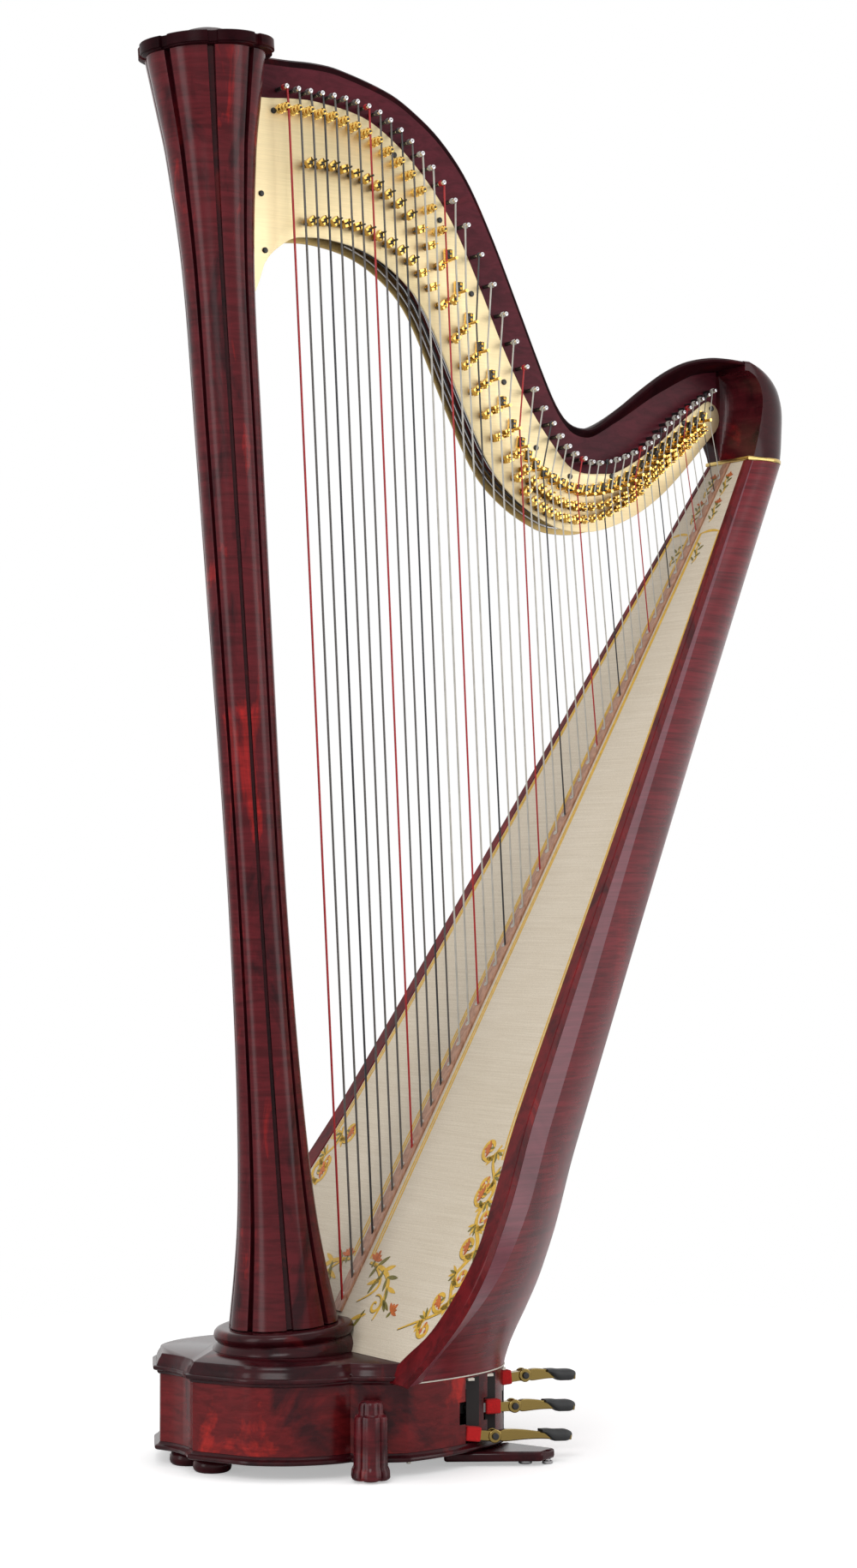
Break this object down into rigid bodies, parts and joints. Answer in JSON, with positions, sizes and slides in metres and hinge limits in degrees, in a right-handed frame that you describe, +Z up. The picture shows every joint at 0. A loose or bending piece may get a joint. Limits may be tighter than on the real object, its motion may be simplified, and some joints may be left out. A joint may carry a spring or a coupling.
{
  "type": "pedal harp",
  "caption": "Full-size pedal harp with a fluted leaning column, curved neck with plates, tapered soundbox, base with feet and folding pedals in stepped slots.",
  "frame": {"origin": "middle of the bounding box at the floor", "axes": "+Z up; +X from the column towards the soundbox; the strings hang in a plane 3 mm on the -Y side of y = 0"},
  "size_m": [1.0341, 0.577, 1.8701],
  "materials": {
    "lacquer": "burgundy gloss lacquer over flamed maple",
    "dark_lacquer": "very dark burgundy gloss lacquer",
    "spruce": "pale spruce with a satin clear coat",
    "string": "gut, wire and a brown wooden strip under them",
    "plate": "pale satin gold plating",
    "gold": "bright gold plating",
    "brass": "polished brass",
    "pedal_brass": "polished brass with a black rubber cap",
    "steel": "bright drawn steel"
  },
  "bodies": {
    "frame": {"action_plate_back": "plate", "action_plate_front": "plate", "base_floor": "dark_lacquer", "base_top": "dark_lacquer", "base_wall": "lacquer", "column": "lacquer", "column_foot_ring": "dark_lacquer", "crown_cap": "dark_lacquer", "crown_rim": "dark_lacquer", "edge_strip_left": "dark_lacquer", "edge_strip_right": "dark_lacquer", "front_foot_left": "dark_lacquer", "front_foot_right": "dark_lacquer", "inner_string_rib": "spruce", "neck": "lacquer", "pedal_axle": "steel", "rear_foot_left": "dark_lacquer", "rear_foot_right": "dark_lacquer", "shoulder": "lacquer", "shoulder_band": "brass", "side_foot_left": "lacquer", "side_foot_right": "lacquer", "soundboard": "spruce", "soundbox": "lacquer", "strings": "string"},
    "pedal_d": {"pedal_d": "steel"},
    "toe_d": {"pedal_toe_d": "pedal_brass"},
    "rod_d": {"pedal_rod_d": "steel"},
    "disc_natural_d": {"disc_natural_d": "gold"},
    "disc_sharp_d": {"disc_sharp_d": "gold"},
    "pedal_c": {"pedal_c": "steel"},
    "toe_c": {"pedal_toe_c": "pedal_brass"},
    "rod_c": {"pedal_rod_c": "steel"},
    "disc_natural_c": {"disc_natural_c": "gold"},
    "disc_sharp_c": {"disc_sharp_c": "gold"},
    "pedal_b": {"pedal_b": "steel"},
    "toe_b": {"pedal_toe_b": "pedal_brass"},
    "rod_b": {"pedal_rod_b": "steel"},
    "disc_natural_b": {"disc_natural_b": "gold"},
    "disc_sharp_b": {"disc_sharp_b": "gold"},
    "pedal_e": {"pedal_e": "steel"},
    "toe_e": {"pedal_toe_e": "pedal_brass"},
    "rod_e": {"pedal_rod_e": "steel"},
    "disc_natural_e": {"disc_natural_e": "gold"},
    "disc_sharp_e": {"disc_sharp_e": "gold"},
    "pedal_f": {"pedal_f": "steel"},
    "toe_f": {"pedal_toe_f": "pedal_brass"},
    "rod_f": {"pedal_rod_f": "steel"},
    "disc_natural_f": {"disc_natural_f": "gold"},
    "disc_sharp_f": {"disc_sharp_f": "gold"},
    "pedal_g": {"pedal_g": "steel"},
    "toe_g": {"pedal_toe_g": "pedal_brass"},
    "rod_g": {"pedal_rod_g": "steel"},
    "disc_natural_g": {"disc_natural_g": "gold"},
    "disc_sharp_g": {"disc_sharp_g": "gold"},
    "pedal_a": {"pedal_a": "steel"},
    "toe_a": {"pedal_toe_a": "pedal_brass"},
    "rod_a": {"pedal_rod_a": "steel"},
    "disc_natural_a": {"disc_natural_a": "gold"},
    "disc_sharp_a": {"disc_sharp_a": "gold"}
  },
  "joints": [
    {"name": "pedal_d_press", "type": "hinge", "parent": "frame", "child": "pedal_d", "pos_m": [-0.3793, -0.128, 0.07], "axis": [0, 1, 0], "range_deg": [-13.25, 0]},
    {"name": "pedal_d_fold", "type": "hinge", "parent": "pedal_d", "child": "toe_d", "pos_m": [-0.1003, -0.1835, 0.03781], "axis": [-0.1951, -0.9808, 0], "range_deg": [0, 45]},
    {"name": "rod_d_slide", "type": "slide", "parent": "frame", "child": "rod_d", "axis": [-0.0727, 0, 0.9974], "range_m": [-0.0003, 0.01764]},
    {"name": "disc_natural_d_turn", "type": "hinge", "parent": "frame", "child": "disc_natural_d", "pos_m": [-0.03936, 0.0195, 1.546], "axis": [0, -1, 0], "range_deg": [-40.2, 0.2]},
    {"name": "disc_sharp_d_turn", "type": "hinge", "parent": "frame", "child": "disc_sharp_d", "pos_m": [-0.0367, 0.0195, 1.49349], "axis": [0, -1, 0], "range_deg": [-40.2, 0.2]},
    {"name": "pedal_c_press", "type": "hinge", "parent": "frame", "child": "pedal_c", "pos_m": [-0.3793, -0.102, 0.07], "axis": [0, 1, 0], "range_deg": [-5.66, 5.66]},
    {"name": "pedal_c_fold", "type": "hinge", "parent": "pedal_c", "child": "toe_c", "pos_m": [-0.05587, -0.16252, 0.07], "axis": [-0.1839, -0.9829, 0], "range_deg": [0, 60]},
    {"name": "rod_c_slide", "type": "slide", "parent": "frame", "child": "rod_c", "axis": [-0.0727, 0, 0.9974], "range_m": [-0.00771, 0.00771]},
    {"name": "disc_natural_c_turn", "type": "hinge", "parent": "frame", "child": "disc_natural_c", "pos_m": [0.06374, 0.0195, 1.34245], "axis": [0, -1, 0], "range_deg": [-20.2, 20.2]},
    {"name": "disc_sharp_c_turn", "type": "hinge", "parent": "frame", "child": "disc_sharp_c", "pos_m": [0.06547, 0.0195, 1.31012], "axis": [0, -1, 0], "range_deg": [-20.2, 20.2]},
    {"name": "pedal_b_press", "type": "hinge", "parent": "frame", "child": "pedal_b", "pos_m": [-0.3793, -0.076, 0.07], "axis": [0, 1, 0], "range_deg": [0, 9.84]},
    {"name": "pedal_b_fold", "type": "hinge", "parent": "pedal_b", "child": "toe_b", "pos_m": [-0.01286, -0.12154, 0.10144], "axis": [-0.1233, -0.9924, 0], "range_deg": [0, 80]},
    {"name": "rod_b_slide", "type": "slide", "parent": "frame", "child": "rod_b", "axis": [-0.0727, 0, 0.9974], "range_m": [-0.01319, 0.0003]},
    {"name": "disc_natural_b_turn", "type": "hinge", "parent": "frame", "child": "disc_natural_b", "pos_m": [0.04727, 0.0195, 1.36985], "axis": [0, -1, 0], "range_deg": [-0.2, 40.2]},
    {"name": "disc_sharp_b_turn", "type": "hinge", "parent": "frame", "child": "disc_sharp_b", "pos_m": [0.04914, 0.0195, 1.33456], "axis": [0, -1, 0], "range_deg": [-0.2, 40.2]},
    {"name": "pedal_e_press", "type": "hinge", "parent": "frame", "child": "pedal_e", "pos_m": [-0.3793, 0.05, 0.07], "axis": [0, 1, 0], "range_deg": [-4.61, 4.61]},
    {"name": "pedal_e_fold", "type": "hinge", "parent": "pedal_e", "child": "toe_e", "pos_m": [0.01153, 0.06408, 0.07], "axis": [0.036, -0.9994, 0], "range_deg": [0, 80]},
    {"name": "rod_e_slide", "type": "slide", "parent": "frame", "child": "rod_e", "axis": [-0.0727, 0, 0.9974], "range_m": [-0.00633, 0.00633]},
    {"name": "disc_natural_e_turn", "type": "hinge", "parent": "frame", "child": "disc_natural_e", "pos_m": [-0.02297, 0.0195, 1.50678], "axis": [0, -1, 0], "range_deg": [-20.2, 20.2]},
    {"name": "disc_sharp_e_turn", "type": "hinge", "parent": "frame", "child": "disc_sharp_e", "pos_m": [-0.02041, 0.0195, 1.45795], "axis": [0, -1, 0], "range_deg": [-20.2, 20.2]},
    {"name": "pedal_f_press", "type": "hinge", "parent": "frame", "child": "pedal_f", "pos_m": [-0.3793, 0.076, 0.07], "axis": [0, 1, 0], "range_deg": [-4.92, 4.92]},
    {"name": "pedal_f_fold", "type": "hinge", "parent": "pedal_f", "child": "toe_f", "pos_m": [-0.01154, 0.1217, 0.07], "axis": [0.1233, -0.9924, 0], "range_deg": [0, 75]},
    {"name": "rod_f_slide", "type": "slide", "parent": "frame", "child": "rod_f", "axis": [-0.0727, 0, 0.9974], "range_m": [-0.00674, 0.00674]},
    {"name": "disc_natural_f_turn", "type": "hinge", "parent": "frame", "child": "disc_natural_f", "pos_m": [-0.00622, 0.0195, 1.46948], "axis": [0, -1, 0], "range_deg": [-20.2, 20.2]},
    {"name": "disc_sharp_f_turn", "type": "hinge", "parent": "frame", "child": "disc_sharp_f", "pos_m": [-0.00377, 0.0195, 1.42423], "axis": [0, -1, 0], "range_deg": [-20.2, 20.2]},
    {"name": "pedal_g_press", "type": "hinge", "parent": "frame", "child": "pedal_g", "pos_m": [-0.3793, 0.102, 0.07], "axis": [0, 1, 0], "range_deg": [-5.66, 5.66]},
    {"name": "pedal_g_fold", "type": "hinge", "parent": "pedal_g", "child": "toe_g", "pos_m": [-0.05587, 0.16252, 0.07], "axis": [0.1839, -0.9829, 0], "range_deg": [0, 60]},
    {"name": "rod_g_slide", "type": "slide", "parent": "frame", "child": "rod_g", "axis": [-0.0727, 0, 0.9974], "range_m": [-0.00771, 0.00771]},
    {"name": "disc_natural_g_turn", "type": "hinge", "parent": "frame", "child": "disc_natural_g", "pos_m": [0.01141, 0.0195, 1.4352], "axis": [0, -1, 0], "range_deg": [-20.2, 20.2]},
    {"name": "disc_sharp_g_turn", "type": "hinge", "parent": "frame", "child": "disc_sharp_g", "pos_m": [0.01368, 0.0195, 1.39333], "axis": [0, -1, 0], "range_deg": [-20.2, 20.2]},
    {"name": "pedal_a_press", "type": "hinge", "parent": "frame", "child": "pedal_a", "pos_m": [-0.3793, 0.128, 0.07], "axis": [0, 1, 0], "range_deg": [0, 13.25]},
    {"name": "pedal_a_fold", "type": "hinge", "parent": "pedal_a", "child": "toe_a", "pos_m": [-0.1003, 0.1835, 0.10219], "axis": [0.1951, -0.9808, 0], "range_deg": [0, 40]},
    {"name": "rod_a_slide", "type": "slide", "parent": "frame", "child": "rod_a", "axis": [-0.0727, 0, 0.9974], "range_m": [-0.01764, 0.0003]},
    {"name": "disc_natural_a_turn", "type": "hinge", "parent": "frame", "child": "disc_natural_a", "pos_m": [0.02953, 0.0195, 1.40138], "axis": [0, -1, 0], "range_deg": [-0.2, 40.2]},
    {"name": "disc_sharp_a_turn", "type": "hinge", "parent": "frame", "child": "disc_sharp_a", "pos_m": [0.03159, 0.0195, 1.36287], "axis": [0, -1, 0], "range_deg": [-0.2, 40.2]}
  ],
  "couplings": [
    {"joint": "rod_d_slide", "follows": "pedal_d_press", "m_per_rad": -0.075},
    {"joint": "disc_natural_d_turn", "follows": "pedal_d_press", "ratio": 3.0188},
    {"joint": "disc_sharp_d_turn", "follows": "pedal_d_press", "ratio": 3.0188},
    {"joint": "rod_c_slide", "follows": "pedal_c_press", "m_per_rad": -0.075},
    {"joint": "disc_natural_c_turn", "follows": "pedal_c_press", "ratio": 3.5323},
    {"joint": "disc_sharp_c_turn", "follows": "pedal_c_press", "ratio": 3.5323},
    {"joint": "rod_b_slide", "follows": "pedal_b_press", "m_per_rad": -0.075},
    {"joint": "disc_natural_b_turn", "follows": "pedal_b_press", "ratio": 4.0633},
    {"joint": "disc_sharp_b_turn", "follows": "pedal_b_press", "ratio": 4.0633},
    {"joint": "rod_e_slide", "follows": "pedal_e_press", "m_per_rad": -0.075},
    {"joint": "disc_natural_e_turn", "follows": "pedal_e_press", "ratio": 4.3387},
    {"joint": "disc_sharp_e_turn", "follows": "pedal_e_press", "ratio": 4.3387},
    {"joint": "rod_f_slide", "follows": "pedal_f_press", "m_per_rad": -0.075},
    {"joint": "disc_natural_f_turn", "follows": "pedal_f_press", "ratio": 4.0633},
    {"joint": "disc_sharp_f_turn", "follows": "pedal_f_press", "ratio": 4.0633},
    {"joint": "rod_g_slide", "follows": "pedal_g_press", "m_per_rad": -0.075},
    {"joint": "disc_natural_g_turn", "follows": "pedal_g_press", "ratio": 3.5323},
    {"joint": "disc_sharp_g_turn", "follows": "pedal_g_press", "ratio": 3.5323},
    {"joint": "rod_a_slide", "follows": "pedal_a_press", "m_per_rad": -0.075},
    {"joint": "disc_natural_a_turn", "follows": "pedal_a_press", "ratio": 3.0188},
    {"joint": "disc_sharp_a_turn", "follows": "pedal_a_press", "ratio": 3.0188}
  ]
}
